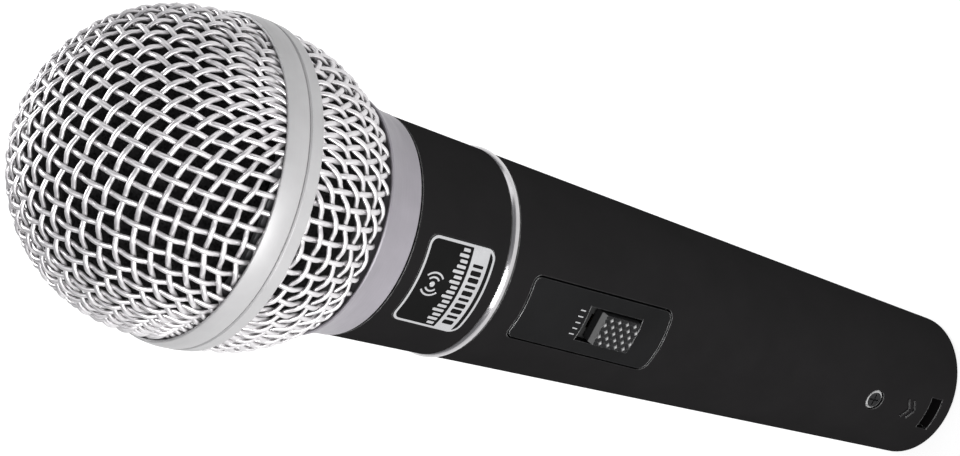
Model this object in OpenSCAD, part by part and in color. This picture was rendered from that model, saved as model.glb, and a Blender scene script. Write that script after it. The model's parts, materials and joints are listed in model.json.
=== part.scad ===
// Hand-held dynamic microphone with a screw-off ball grille, a slide switch and a
// three-pin socket in the tail.  The long axis is +Z: the tail face stands at z = 0,
// the head is up, and the switch and the nameplate face -Y.

/* [Handle] */
// Radius of the handle at the tail face
tail_r = 12.2; // [11.8:0.1:13]
// Radius of the handle where the grille collar sits
shoulder_r = 17.4; // [17:0.1:17.4]
// Height of the shoulder that the grille collar sits on
shoulder_z = 122.7; // [120:0.1:124]
// Rounding of the outer edge of the tail
tail_fillet = 0.8; // [0.4:0.1:1.5]
// Wall of the handle along the grip
handle_wall = 2.3; // [2:0.1:2.6]
// Height of the lower edge of the accent ring
accent_z = 103.2; // [101:0.1:104]
// Height of the accent ring
accent_h = 1.7; // [1:0.1:2.5]
// How far the round back of the accent ring stands proud of the handle
accent_proud = 0.35; // [0.1:0.05:0.4]

/* [Head] */
// Widest radius of the ball grille, at its bands
band_r = 25.35; // [25:0.05:26]
// Height of the lower edge of the narrow band
band_rear_z = 146.5; // [146:0.1:147.5]
// Height of the groove between the two bands
band_groove_z = 148.9; // [148.6:0.1:149.2]
// Height of the upper edge of the wide band
band_front_z = 152.7; // [152.4:0.1:153]
// Height of the centre of the front dome
dome_z = 155.2; // [155:0.1:156]
// Outer radius of the front dome
dome_r = 24.6; // [24.5:0.05:24.7]
// Height of the front dome above its centre
dome_h = 24.3; // [22:0.1:26]
// Thickness of the woven wire, over two crossing wires
mesh_t = 1.5; // [1.2:0.1:1.6]
// Outward bulge of the rear mesh between its two rims
rear_bulge = 2; // [0.8:0.05:2.2]
// Thickness of the foam liner
foam_t = 3; // [2:0.5:4]

/* [Collar] */
// Height of the front lip of the grille collar
collar_front_z = 129.6; // [129:0.1:130]
// Radius of the front lip of the grille collar
collar_front_r = 19; // [18.8:0.05:19.8]
// Hollow of the collar's flare
collar_hollow = 0.35; // [0.1:0.05:0.6]
// Axial gap between the collar and the handle's shoulder
collar_gap = 0.2; // [0.1:0.05:0.3]
// Radius of the plain land that guides the collar
land_r = 16.2; // [16.1:0.05:16.3]
// Length of the plain land
land_len = 5.5; // [5.3:0.1:5.8]
// Radial running clearance of the collar on the land
land_clearance = 0.05; // [0.02:0.01:0.08]
// Root radius of the thread on the neck
thread_root_r = 14.6; // [14.4:0.1:14.8]
// Root radius of the thread inside the collar
thread_bore_r = 15.3; // [15.2:0.05:15.4]
// Length of the threaded part of the neck
thread_len = 5.3; // [5:0.1:5.6]

/* [Switch] */
// Height of the middle of the switch plate
plate_z = 83.9; // [83:0.1:86]
// Length of the switch plate along the handle
plate_len = 29; // [27:0.5:29.5]
// Width of the switch plate
plate_w = 10.6; // [10:0.2:11]
// Corner radius of the switch plate
plate_corner = 1.2; // [1:0.1:2.5]
// Gap around the switch plate
plate_gap = 0.3; // [0.1:0.05:0.4]
// Thickness of the switch plate
plate_t = 1.45; // [1.3:0.05:1.5]
// Distance from the middle of the plate to the middle of its opening, towards the tail
opening_offset = 3.45; // [2.5:0.05:4]
// Length of the opening that the thumb-piece slides in
opening_len = 11.1; // [10.4:0.1:11.4]
// Width of the opening
opening_w = 6; // [5:0.1:6.4]
// Length of the thumb-piece
thumb_len = 7.6; // [7:0.1:7.8]
// Width of the thumb-piece
thumb_w = 5.3; // [4.2:0.1:5.6]
// Height of the thumb-piece above the handle, without its knurl
thumb_proud = 0.7; // [0.3:0.1:1.5]
// Height of the knurl's pyramids
knurl_h = 0.5; // [0.3:0.1:0.6]
// Length of one pyramid, along the thumb-piece
knurl_along = 1.66; // [1.2:0.02:2]
// Width of one pyramid, across the thumb-piece
knurl_across = 2.04; // [1.4:0.02:2.4]

/* [Nameplate] */
// Height of the middle of the nameplate
name_z = 113.7; // [113:0.1:114.5]
// Width of the nameplate, around the handle
name_w = 14.6; // [12:0.1:15]
// Height of the nameplate, along the handle
name_h = 12.8; // [10:0.1:13.2]
// Corner radius of the nameplate
name_corner = 1.6; // [1:0.1:2]
// Width of the nameplate's rim
name_rim = 0.4; // [0.3:0.05:0.7]
// Height of the bright stripe across the nameplate
name_stripe_h = 3.3; // [1.5:0.1:4]
// Height of the dark line below the stripe
name_line_h = 0.7; // [0.5:0.1:1.2]

/* [Socket] */
// Radius of the mouth of the socket
socket_mouth_r = 8.25; // [8.22:0.01:8.3]
// Depth of the mouth of the socket
socket_mouth_depth = 3.6; // [3:0.1:3.8]
// Radius of the bore that holds the insert
socket_r = 8.05; // [8.02:0.01:8.1]
// Height of the face of the insert
insert_z = 16.8; // [16:0.1:17.4]
// Thickness of the insert
insert_h = 8.4; // [7:0.1:9]
// Radius of one contact pin
pin_r = 1.18; // [1.1:0.01:1.25]
// Diameter of the circle that the three pins stand on
pin_circle = 8.8; // [8.4:0.1:9.2]
// Height of the tips of the pins
pin_tip_z = 4; // [3.9:0.1:5]
// Radius of a pin where the insert grips it
pin_seat_r = 1.4; // [1.36:0.02:1.5]
// Width of the latch window
latch_w = 5.9; // [4.5:0.1:6]
// Height of the latch window
latch_h = 2.6; // [2:0.1:3]
// Height of the middle of the latch window
latch_z = 4.3; // [4:0.1:5]
// Height of the screw that locks the insert
screw_z = 18.6; // [18:0.1:20]

/* [Hidden] */
$fn = 96;
slack = 0.05;              // gap between two pieces that are pressed or glued together
big = 60;                  // larger than any radius, for cutting tools
taper = atan((shoulder_r - tail_r) / shoulder_z);

bore_end_z = insert_z + insert_h + 0.8;
plug_len = 11;             // how far the neck piece plugs into the handle
plug_r = 14;
plug_z = accent_z - plug_len;
ring_bore_r = 14.6;
neck_bore_r = 12.4;
land_top_z = shoulder_z + land_len;
neck_top_z = land_top_z + thread_len;

collar_rear_z = shoulder_z + collar_gap;
collar_rear_r = shoulder_r + 0.1;
sleeve_top_z = neck_top_z + 0.5;
sleeve_r = thread_bore_r + 1.4;
lip_t = 0.4;               // wall of the thin lips that hold the rims of the mesh
rim_depth = 1.4;           // how deep a mesh rim sits behind a band's lip
mesh_rim_r = dome_r - 0.05;
rear_rim_r = collar_front_r - lip_t - 0.3;
rear_rim_z = collar_front_z - 0.3;
support_r = 22.75;
support_t = 0.8;
support_z = band_rear_z + 0.9;
support_h = 5.1;
foam_r = support_r - support_t - 0.35;
foam_z = sleeve_top_z + 0.8;
foam_h = dome_h - mesh_t - 0.6;

opening_z = plate_z - opening_offset;
pocket_depth = plate_t + slack;
thumb_gap = 0.2;           // left at the head end of the opening when switched on
thumb_rest_gap = 0.9;      // left at the tail end of the opening when switched off
thumb_travel = opening_len - thumb_len - thumb_gap - thumb_rest_gap;
thumb_bottom = -plate_t - 0.25;
thumb_mid = thumb_rest_gap + (thumb_len - opening_len) / 2;
stem_w = 1.8;
stem_len = 2.4;
stem_bottom = -4.2;
switch_w = 7.2;
switch_len = 18;
switch_top = thumb_bottom - 0.35;
switch_h = 5.1;
switch_wall = 0.6;
terminal_pitch = 5;

name_t = 0.45;
name_proud = 0.15;
inlay_t = 0.2;

screw_r = 1;
screw_head_r = 1.75;
screw_head_depth = 1;
screw_len = 5.8;           // from the surface of the handle to the screw's end

shock_z = 119.5;
shock_flange_h = 2.4;
capsule_z = neck_top_z + shock_flange_h + 0.2;
capsule_r = 12.2;
capsule_h = 15.9;
capsule_wall = 1;
chamber_r = 9.9;
chamber_z = 106;
chamber_wall = 1.2;
yoke_r = 11;
yoke_bore_r = 8.6;
yoke_h = 8;
magnet_r = 7;
magnet_h = 4.4;
pole_r = 7.2;
pole_h = 1.85;
coil_r = 7.55;
coil_t = 0.6;
coil_h = 4.5;
diaphragm_z = capsule_z + 12.1;
cap_z = capsule_z + capsule_h + slack;
cap_h = 2.1;
lead_r = 0.55;

// Radius of the handle's cone at height z
function handle_r(z) = tail_r + (shoulder_r - tail_r) * z / shoulder_z;

// Points of a circular arc, from angle a0 to angle a1
function arc_points(centre, r, a0, a1, steps) =
    [for (i = [0:steps]) let (a = a0 + (a1 - a0) * i / steps) centre + r * [cos(a), sin(a)]];

// Points of a quarter ellipse in (radius, height), from its rim to its top
function dome_points(rx, rz, z0, z1, steps) =
    let (a0 = asin((z0 - z1) / rz))
    [for (i = [0:steps]) let (a = a0 + (90 - a0) * i / steps) [rx * cos(a), z1 + rz * sin(a)]];

// Points from p to q along an arc that bulges to the right of the way by h
function bulge_points(p, q, h, steps) =
    let (d = q - p, u = [d[1], -d[0]] / norm(d))
    [for (i = [0:steps]) let (t = i / steps) p + t * d + 4 * h * t * (1 - t) * u];

// The same list, last point first
function backwards(list) = [for (i = [len(list) - 1:-1:0]) list[i]];

// One point of a smooth curve through b and c, with neighbours a and d
function spline_point(a, b, c, d, t) =
    0.5 * (2 * b + (c - a) * t + (2 * a - 5 * b + 4 * c - d) * t * t
        + (3 * b - a - 3 * c + d) * t * t * t);

// A smooth path through the given points, with some steps between each pair
function smooth_path(pts, steps) = let (last = len(pts) - 1) concat(
    [for (i = [0:last - 1], k = [0:steps - 1]) spline_point(pts[max(i - 1, 0)], pts[i],
        pts[i + 1], pts[min(i + 2, last)], k / steps)], [pts[last]]);

// A solid of revolution from an outline of (radius, height) points
module turned(outline) { rotate_extrude() polygon(outline); }

// A plain tube from z0 to z1
module tube(r_out, r_in, z0, z1) {
    turned([[r_in, z0], [r_out, z0], [r_out, z1], [r_in, z1]]);
}

// Cone of the handle, offset inwards by depth, between two heights
module handle_cone(depth, z0, z1) {
    turned([[0, z0], [handle_r(z0) - depth, z0], [handle_r(z1) - depth, z1], [0, z1]]);
}

// Puts its children on the switch side of the handle: y runs up the handle, z points out
module on_face(z) {
    translate([0, -handle_r(z), z]) rotate([90 + taper, 0, 0]) children();
}

// A rectangle with round corners
module rounded_rect(w, l, r) {
    polygon(concat(
        arc_points([w / 2 - r, l / 2 - r], r, 0, 90, 8),
        arc_points([r - w / 2, l / 2 - r], r, 90, 180, 8),
        arc_points([r - w / 2, r - l / 2], r, 180, 270, 8),
        arc_points([w / 2 - r, r - l / 2], r, 270, 360, 8)));
}

// A block with a rounded rectangle for a face, reaching outwards from a depth
module face_block(w, l, r, depth, height) {
    translate([0, 0, -depth]) linear_extrude(depth + height) rounded_rect(w, l, r);
}

// A block centred on x and y, from z0 to z1
module centred_block(w, l, z0, z1) { translate([-w / 2, -l / 2, z0]) cube([w, l, z1 - z0]); }

// Places a child at one of the three pin positions
module at_pin(i) {
    rotate([0, 0, 120 * i - 180]) translate([0, -pin_circle / 2, 0]) children();
}

// A round wire along a path, eight-sided
module wire(path, r) {
    sides = 8;
    last = len(path) - 1;
    function heading(i) = let (d = path[min(i + 1, last)] - path[max(i - 1, 0)]) d / norm(d);
    function ring(i) = let (t = heading(i), s = cross(t, [1, 0, 0]), u = s / norm(s),
        v = cross(t, u))
        [for (k = [0:sides - 1]) let (a = 360 * k / sides) path[i] + r * (u * cos(a) + v * sin(a))];
    points = [for (i = [0:last]) each ring(i)];
    sleeve = [for (i = [0:last - 1], k = [0:sides - 1]) let (n = (k + 1) % sides)
        [i * sides + k, (i + 1) * sides + k, (i + 1) * sides + n, i * sides + n]];
    polyhedron(points, concat(sleeve, [[for (k = [0:sides - 1]) k],
        [for (k = [sides - 1:-1:0]) last * sides + k]]), convexity = 6);
}

// ---- Handle ----

module handle_body() {
    cavity_z = bore_end_z + 2;
    color([0.13, 0.12, 0.13]) difference() {
        turned(concat(
            [[socket_mouth_r + 0.3, 0]],
            arc_points([tail_r - tail_fillet, tail_fillet], tail_fillet, -90, 0, 8),
            [[handle_r(accent_z), accent_z], [plug_r + slack, accent_z],
             [plug_r + slack, plug_z - slack], [handle_r(plug_z) - handle_wall, plug_z - slack],
             [handle_r(cavity_z) - handle_wall, cavity_z], [socket_r, bore_end_z],
             [socket_r, socket_mouth_depth], [socket_mouth_r, socket_mouth_depth],
             [socket_mouth_r, 0.3]]));
        switch_pocket();
        on_face(plate_z) centred_block(plate_w - 2.2, plate_len - 3, -2 * handle_wall, 0);
        on_face(screw_z) translate([0, 0, -screw_len - 0.7])
            cylinder(h = big, r = screw_r + 0.15);
        on_face(screw_z) translate([0, 0, -screw_head_depth])
            cylinder(h = big, r = screw_head_r + 0.1);
        translate([-latch_w / 2, -big, latch_z - latch_h / 2]) cube([latch_w, big, latch_h]);
    }
}

// The pocket that the switch plate lies in, with a floor that follows the handle
module switch_pocket() {
    gap = 2 * plate_gap;
    difference() {
        on_face(plate_z) face_block(plate_w + gap, plate_len + gap, plate_corner + plate_gap, 4, 2);
        handle_cone(pocket_depth, plate_z - plate_len, plate_z + plate_len);
    }
}

module neck_sleeve() {
    ring_top_z = accent_z + accent_h;
    color([0.13, 0.12, 0.13]) difference() {
        turned([[neck_bore_r, plug_z], [plug_r, plug_z], [plug_r, accent_z],
            [ring_bore_r - slack, accent_z], [ring_bore_r - slack, ring_top_z],
            [handle_r(ring_top_z), ring_top_z], [shoulder_r, shoulder_z], [land_r, shoulder_z],
            [land_r, land_top_z], [thread_root_r, land_top_z], [thread_root_r, neck_top_z],
            [neck_bore_r, neck_top_z]]);
        difference() {
            on_face(name_z) face_block(name_w + 0.1, name_h + 0.1, name_corner, 5, 2);
            handle_cone(name_t - name_proud + slack, name_z - name_h, name_z + name_h);
        }
    }
}

module accent_ring() {
    top_z = accent_z + accent_h;
    z0 = accent_z + slack;
    z1 = top_z - slack;
    color([0.9, 0.9, 0.92])
        turned(concat([[ring_bore_r, z0]], bulge_points([handle_r(z0), z0],
            [handle_r(z1), z1], accent_proud, 10), [[ring_bore_r, z1]]));
}

// The curved sheet between two depths under the outline of its children
module curved_sheet(z, outer_depth, inner_depth) {
    half = 2 * name_h;
    intersection() {
        on_face(z) translate([0, 0, -5]) linear_extrude(7) children();
        difference() {
            handle_cone(outer_depth, z - half, z + half);
            handle_cone(inner_depth, z - half - 1, z + half + 1);
        }
    }
}

// The two dark fields of the nameplate, shrunk by a gap
module name_fields(gap) {
    inner_w = name_w - 2 * name_rim - 2 * gap;
    low = -name_h / 2 + name_rim;
    field_low = low + name_line_h + name_stripe_h;
    intersection() {
        rounded_rect(inner_w, name_h - 2 * name_rim - 2 * gap, name_corner - name_rim);
        union() {
            translate([-inner_w / 2, low]) square([inner_w, name_line_h - gap]);
            translate([-inner_w / 2, field_low + gap]) square([inner_w, name_h]);
        }
    }
}

module nameplate() {
    color([0.8, 0.8, 0.81]) difference() {
        curved_sheet(name_z, -name_proud, name_t - name_proud)
            rounded_rect(name_w, name_h, name_corner);
        difference() {
            on_face(name_z) translate([0, 0, -4]) linear_extrude(6) name_fields(0);
            handle_cone(inlay_t - name_proud, name_z - name_h, name_z + name_h);
        }
    }
}

module nameplate_inlay() {
    color([0.07, 0.07, 0.07])
        curved_sheet(name_z, 0.03 - name_proud, inlay_t - name_proud - 0.01) name_fields(0.03);
}

// ---- Slide switch ----

module switch_plate() {
    color([0.1, 0.1, 0.1]) difference() {
        intersection() {
            on_face(plate_z) face_block(plate_w, plate_len, plate_corner, 4, 2);
            difference() {
                handle_cone(0, plate_z - plate_len, plate_z + plate_len);
                handle_cone(plate_t, plate_z - plate_len - 1, plate_z + plate_len + 1);
            }
        }
        on_face(opening_z) centred_block(opening_w, opening_len, -5, 2);
    }
}

module switch_housing() {
    inner_w = switch_w - 2 * switch_wall;
    inner_len = switch_len - 2 * switch_wall;
    slot_len = stem_len + thumb_travel + 0.8;
    bottom = switch_top - switch_h;
    color([0.6, 0.6, 0.6]) on_face(opening_z) difference() {
        centred_block(switch_w, switch_len, bottom, switch_top);
        centred_block(inner_w, inner_len, bottom + switch_wall, switch_top - switch_wall);
        translate([0, thumb_mid + thumb_travel / 2, 0])
            centred_block(stem_w + 0.7, slot_len, switch_top - 2 * switch_wall, switch_top + 1);
    }
}

module switch_terminal(i) {
    top = switch_top - switch_h - slack;
    color([0.8, 0.65, 0.3]) on_face(opening_z) translate([0, terminal_pitch * (i - 2), 0])
        centred_block(1.6, 0.5, top - 2.6, top);
}

// Pyramids over a rectangle, left between two slanting sets of grooves
module knurl(w, l) {
    slant = atan(knurl_along / knurl_across);
    pitch = knurl_along * cos(slant);
    count = 2 * ceil(l / pitch);
    reach = pitch * count / 2;
    module ridges(turn) {
        rotate([0, 0, turn]) rotate([90, 0, 90]) translate([0, 0, -reach])
            linear_extrude(2 * reach)
            polygon(concat([[-reach, -knurl_h]],
                [for (i = [0:count - 1], half = [0, 1])
                    [pitch * (i + half / 2) - reach, half * knurl_h]],
                [[reach, 0], [reach, -knurl_h]]));
    }
    intersection() {
        ridges(slant);
        ridges(-slant);
        centred_block(w, l, -knurl_h, knurl_h);
    }
}

module switch_thumb() {
    bevel = 0.3;
    color([0.3, 0.3, 0.3]) on_face(opening_z) translate([0, thumb_mid, 0]) {
        rotate([90, 0, 90]) translate([0, 0, -thumb_w / 2]) linear_extrude(thumb_w)
            polygon([[-thumb_len / 2, thumb_bottom], [thumb_len / 2, thumb_bottom],
                [thumb_len / 2, -0.2], [thumb_len / 2 - bevel, thumb_proud],
                [-thumb_len / 2, thumb_proud]]);
        translate([0, -bevel / 2, thumb_proud]) knurl(thumb_w, thumb_len - bevel);
        centred_block(stem_w, stem_len, stem_bottom, thumb_bottom);
    }
}

module switch_wiper() {
    color([0.85, 0.7, 0.35]) on_face(opening_z) translate([0, thumb_mid, 0])
        centred_block(4.8, 6, stem_bottom - 0.5, stem_bottom);
}

// ---- Socket ----

module xlr_insert() {
    color([0.16, 0.16, 0.17]) difference() {
        translate([0, 0, insert_z]) cylinder(h = insert_h, r = socket_r - slack);
        for (i = [1:3]) at_pin(i) cylinder(h = big, r = pin_seat_r + 0.02);
        on_face(screw_z) translate([0, 0, -screw_len - 1.2])
            cylinder(h = big, r = screw_r + slack);
    }
}

module xlr_pin(i) {
    top = insert_z + insert_h;
    color([0.85, 0.75, 0.45]) at_pin(i) turned(concat([[0, top + 3.4]],
        [[0, pin_tip_z]], arc_points([0, pin_tip_z + pin_r], pin_r, -85, 0, 8),
        [[pin_r, insert_z], [pin_seat_r, insert_z], [pin_seat_r, top + 3.4]]));
}

module xlr_ground_tab() {
    top = insert_z + insert_h;
    color([0.8, 0.65, 0.3]) rotate([0, 0, -60]) translate([0, -6.8, top + slack])
        centred_block(2.4, 1.8, 0, 0.4);
}

module xlr_screw() {
    slot = 0.35;
    color([0.35, 0.35, 0.36]) on_face(screw_z) difference() {
        turned([[0, -screw_len], [screw_r, -screw_len], [screw_r, -screw_head_depth + slack],
            [screw_head_r, -screw_head_depth + slack], [screw_head_r, -0.5],
            [screw_head_r - 0.3, -0.2], [0, -0.2]]);
        for (turn = [0, 90]) rotate([0, 0, turn]) centred_block(slot, 2.1, -0.65, 1);
    }
}

// ---- Cartridge ----

module shock_mount() {
    top = neck_top_z + slack + shock_flange_h;
    color([0.18, 0.18, 0.18])
        turned([[chamber_r + slack, shock_z], [neck_bore_r - slack, shock_z],
            [neck_bore_r - slack, neck_top_z + slack], [13.9, neck_top_z + slack],
            [13.9, top], [chamber_r + slack, top]]);
}

module rear_chamber() {
    top = capsule_z - slack;
    inner_r = chamber_r - chamber_wall;
    color([0.3, 0.3, 0.32])
        turned([[0, chamber_z], [chamber_r, chamber_z], [chamber_r, top], [inner_r, top],
            [inner_r, chamber_z + chamber_wall], [0, chamber_z + chamber_wall]]);
}

module cartridge_housing() {
    inner_r = capsule_r - capsule_wall;
    floor_z = capsule_z + 1.2;
    color([0.7, 0.7, 0.72])
        turned([[chamber_r - 2, capsule_z], [capsule_r, capsule_z],
            [capsule_r, capsule_z + capsule_h], [inner_r, capsule_z + capsule_h],
            [inner_r, floor_z], [chamber_r - 2, floor_z]]);
}

module yoke() {
    z0 = capsule_z + 1.25;
    color([0.45, 0.45, 0.47])
        turned([[0, z0], [yoke_r, z0], [yoke_r, z0 + yoke_h], [yoke_bore_r, z0 + yoke_h],
            [yoke_bore_r, z0 + 1.4], [0, z0 + 1.4]]);
}

module magnet() {
    color([0.35, 0.35, 0.38]) translate([0, 0, capsule_z + 2.7])
        cylinder(h = magnet_h, r = magnet_r);
}

module pole_piece() {
    color([0.5, 0.5, 0.52]) translate([0, 0, capsule_z + 2.75 + magnet_h])
        cylinder(h = pole_h, r = pole_r);
}

module voice_coil() {
    z1 = diaphragm_z - slack;
    color([0.75, 0.42, 0.2]) tube(coil_r + coil_t, coil_r, z1 - coil_h, z1);
}

module diaphragm() {
    film = 0.25;
    outer = bulge_points([capsule_r - capsule_wall - slack, diaphragm_z], [8.2, diaphragm_z], -0.5, 8);
    dome = bulge_points([8.2, diaphragm_z], [0, diaphragm_z + 1.8], -0.5, 10);
    lift = [0, film];
    color([0.75, 0.8, 0.85]) turned(concat(
        [for (p = backwards(concat(outer, dome))) p], [for (p = concat(outer, dome)) p + lift]));
}

module cartridge_cap() {
    holes = 6;
    color([0.12, 0.12, 0.12]) difference() {
        translate([0, 0, cap_z]) cylinder(h = cap_h, r = capsule_r);
        translate([0, 0, cap_z - 1]) cylinder(h = cap_h, r = capsule_r - capsule_wall);
        translate([0, 0, cap_z]) cylinder(h = cap_h + 1, r = 1.5);
        for (i = [0:holes - 1]) rotate([0, 0, 360 * i / holes]) translate([6.5, 0, cap_z])
            cylinder(h = cap_h + 1, r = 1.5);
    }
}

module felt_disc() {
    color([0.25, 0.25, 0.25]) translate([0, 0, cap_z + cap_h + slack])
        cylinder(h = 1, r = capsule_r - 0.8);
}

// ---- Internal leads ----

// Route points in millimetres, from the rear chamber down to the socket
hot_route = [[2, -5, 105.4], [3, -5.6, 100], [2.6, -5, 94], [1, -3.6, 88.8], [0, -4.4, 86.05],
    [0, -5.9, 85.85]];
switched_route = [[0, -5.45, 75.85], [0, -4.2, 75.45], [0.8, -3.6, 72.8], [3, -5, 66],
    [5.5, -5.5, 52], [4.5, -4, 37], [3.8, -2.2, 29.2]];
return_route = [[-2, -5, 105.4], [-5, -6, 97], [-7.5, -5, 84], [-7.5, -4.5, 70], [-6, -5, 50],
    [-4.5, -4, 37], [-3.8, -2.2, 29.2]];
cold_route = [[0, 7, 105.4], [0, 9, 98], [0, 9.2, 80], [0, 9.2, 60], [0, 8.8, 42], [0, 6, 34],
    [0, 4.4, 29.2]];

module lead(route, steps) { wire(smooth_path(route, steps), lead_r); }

module lead_hot() { color([0.7, 0.1, 0.1]) lead(hot_route, 4); }

module lead_switched() { color([0.75, 0.3, 0.1]) lead(switched_route, 5); }

module lead_return() { color([0.1, 0.1, 0.1]) lead(return_route, 5); }

module lead_cold() { color([0.85, 0.85, 0.8]) lead(cold_route, 5); }

// ---- Grille ----

module foam_liner() {
    outer = concat(bulge_points([foam_r - 2.4, foam_z], [foam_r, band_rear_z], 0.6, 8),
        dome_points(foam_r, foam_h, dome_z, dome_z, 20));
    inner_r = foam_r - foam_t;
    inner = concat(bulge_points([inner_r - 2.4, foam_z], [inner_r, band_rear_z], 0.6, 8),
        dome_points(inner_r, foam_h - foam_t, dome_z, dome_z, 20));
    color([0.08, 0.08, 0.08]) turned(concat(outer, backwards(inner)));
}

module grille_front_mesh() {
    rim_z = band_front_z - rim_depth;
    outer = dome_points(dome_r, dome_h, rim_z, dome_z, 24);
    inner = dome_points(dome_r - mesh_t, dome_h - mesh_t, rim_z, dome_z, 24);
    color([0.78, 0.78, 0.8]) turned(concat(outer, backwards(inner)));
}

module grille_rear_mesh() {
    low = [rear_rim_r, rear_rim_z];
    high = [mesh_rim_r, band_rear_z + rim_depth - 0.1];
    inward = [mesh_t, 0];
    color([0.78, 0.78, 0.8]) turned(concat(bulge_points(low, high, rear_bulge, 12),
        backwards(bulge_points(low - inward, high - inward, rear_bulge, 12))));
}

// The wide band in front of the groove, which holds the rim of the front mesh
module grille_band_front() {
    groove = 0.25;
    z0 = band_groove_z + slack;
    rim_z = band_front_z - rim_depth - slack;
    front_r = mesh_rim_r + slack + lip_t;
    color([0.8, 0.8, 0.82]) turned(concat(
        [[support_r + slack, z0], [band_r - groove - 0.15, z0]],
        bulge_points([band_r - 0.15, z0 + groove], [front_r, band_front_z - 0.1], 0.15, 8),
        [[front_r - 0.1, band_front_z], [front_r - lip_t, band_front_z],
         [front_r - lip_t, rim_z], [support_r + slack, rim_z]]));
}

// The narrow band behind the groove, which holds the rim of the rear mesh
module grille_band_rear() {
    groove = 0.25;
    z1 = band_groove_z - slack;
    rim_z = band_rear_z + rim_depth;
    lip_r = mesh_rim_r + 0.1;
    rear_r = band_r - 0.35;
    color([0.8, 0.8, 0.82]) turned([[lip_r, band_rear_z], [rear_r - 0.15, band_rear_z],
        [rear_r, band_rear_z + 0.15], [band_r - 0.15, z1 - groove],
        [band_r - groove - 0.15, z1], [support_r + slack, z1],
        [support_r + slack, rim_z], [lip_r, rim_z]]);
}

module grille_support_ring() {
    color([0.55, 0.55, 0.57])
        tube(support_r, support_r - support_t, support_z, support_z + support_h);
}

module grille_collar() {
    bore_r = land_r + land_clearance;
    bore_top_z = land_top_z + collar_gap;
    edge = 0.25;
    flare = bulge_points([collar_rear_r, collar_rear_z + edge],
        [collar_front_r, collar_front_z - edge], -collar_hollow, 10);
    color([0.68, 0.66, 0.69]) turned(concat(
        [[bore_r, collar_rear_z], [collar_rear_r - edge, collar_rear_z]],
        flare,
        [[collar_front_r - 0.1, collar_front_z], [collar_front_r - lip_t, collar_front_z],
         [collar_front_r - lip_t, rear_rim_z - slack], [sleeve_r, rear_rim_z - slack],
         [sleeve_r, sleeve_top_z], [thread_bore_r, sleeve_top_z],
         [thread_bore_r, bore_top_z], [bore_r, bore_top_z]]));
}

handle_body();
neck_sleeve();
accent_ring();
nameplate();
nameplate_inlay();
switch_plate();
switch_housing();
switch_terminal(1);  // switch_terminal_1
switch_terminal(2);  // switch_terminal_2
switch_terminal(3);  // switch_terminal_3
switch_thumb();
switch_wiper();
xlr_insert();
xlr_pin(1);  // xlr_pin_1
xlr_pin(2);  // xlr_pin_2
xlr_pin(3);  // xlr_pin_3
xlr_ground_tab();
xlr_screw();
shock_mount();
rear_chamber();
cartridge_housing();
yoke();
magnet();
pole_piece();
voice_coil();
diaphragm();
cartridge_cap();
felt_disc();
lead_hot();
lead_switched();
lead_return();
lead_cold();
foam_liner();
grille_front_mesh();
grille_rear_mesh();
grille_band_front();
grille_band_rear();
grille_support_ring();
grille_collar();
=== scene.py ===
"""Looks for the hand-held dynamic microphone: woven wire grille, foam, thread, plate
graphics, materials, light and camera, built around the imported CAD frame."""
import json
import math

import bpy
import numpy as np
from mathutils import Matrix, Vector, noise

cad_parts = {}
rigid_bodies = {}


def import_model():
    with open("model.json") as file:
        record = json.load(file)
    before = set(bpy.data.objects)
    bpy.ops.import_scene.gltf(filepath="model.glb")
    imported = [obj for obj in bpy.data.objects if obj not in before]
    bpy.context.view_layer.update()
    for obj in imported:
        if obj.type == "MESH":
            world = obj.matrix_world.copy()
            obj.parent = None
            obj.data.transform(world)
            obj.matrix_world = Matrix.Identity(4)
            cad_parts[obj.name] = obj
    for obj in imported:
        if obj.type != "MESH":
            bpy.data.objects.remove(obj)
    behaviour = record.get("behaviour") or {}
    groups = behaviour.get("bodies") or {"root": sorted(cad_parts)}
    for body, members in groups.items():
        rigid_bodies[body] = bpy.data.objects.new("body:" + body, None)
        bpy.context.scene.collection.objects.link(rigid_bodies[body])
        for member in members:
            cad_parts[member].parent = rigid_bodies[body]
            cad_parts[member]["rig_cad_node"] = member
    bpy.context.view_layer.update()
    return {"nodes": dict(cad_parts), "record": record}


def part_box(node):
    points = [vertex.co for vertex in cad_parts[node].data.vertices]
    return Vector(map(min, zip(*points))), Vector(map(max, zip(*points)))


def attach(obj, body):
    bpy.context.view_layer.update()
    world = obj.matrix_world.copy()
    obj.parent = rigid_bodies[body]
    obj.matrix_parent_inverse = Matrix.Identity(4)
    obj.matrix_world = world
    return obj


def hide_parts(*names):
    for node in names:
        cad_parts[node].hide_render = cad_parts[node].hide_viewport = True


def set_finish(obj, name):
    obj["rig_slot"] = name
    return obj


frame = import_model()
MM = 0.001

# ---- Shapes repeated from the CAD, in millimetres ----

TAIL_R, SHOULDER_R, SHOULDER_Z = 12.2, 17.4, 122.7
TAPER = math.atan((SHOULDER_R - TAIL_R) / SHOULDER_Z)
DOME_Z, DOME_R, DOME_H = 155.2, 24.6, 24.3                  # front mesh, a half ellipsoid
RIM_Z, BAND_REAR_Z = 151.3, 146.5                           # its lower rim, and the bands' rear
REAR_LOW, REAR_HIGH, REAR_BULGE = (18.3, 129.3), (24.55, 147.8), 2.0    # rear mesh's outline
FOAM_T, FOAM_NARROWING, FOAM_BULGE = 3.0, 2.4, 0.54         # foam shell, and its lower side
NAME_Z, OPENING_Z, ARROW_Z = 113.7, 80.45, 9.2              # places along the handle
SCREW_Z, SCREW_HEAD_R = 18.6, 1.75
THUMB_HEAD_Y = 2.95     # head end of the thumb-piece, from the middle of its opening
THREAD_ROOT_R, THREAD_BORE_R, THREAD_PITCH = 14.6, 15.3, 1.0
LAND_TOP_Z, NECK_TOP_Z = 128.2, 133.5                       # the neck's thread lies between

# ---- Sizes of the visual pieces, in millimetres ----

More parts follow.
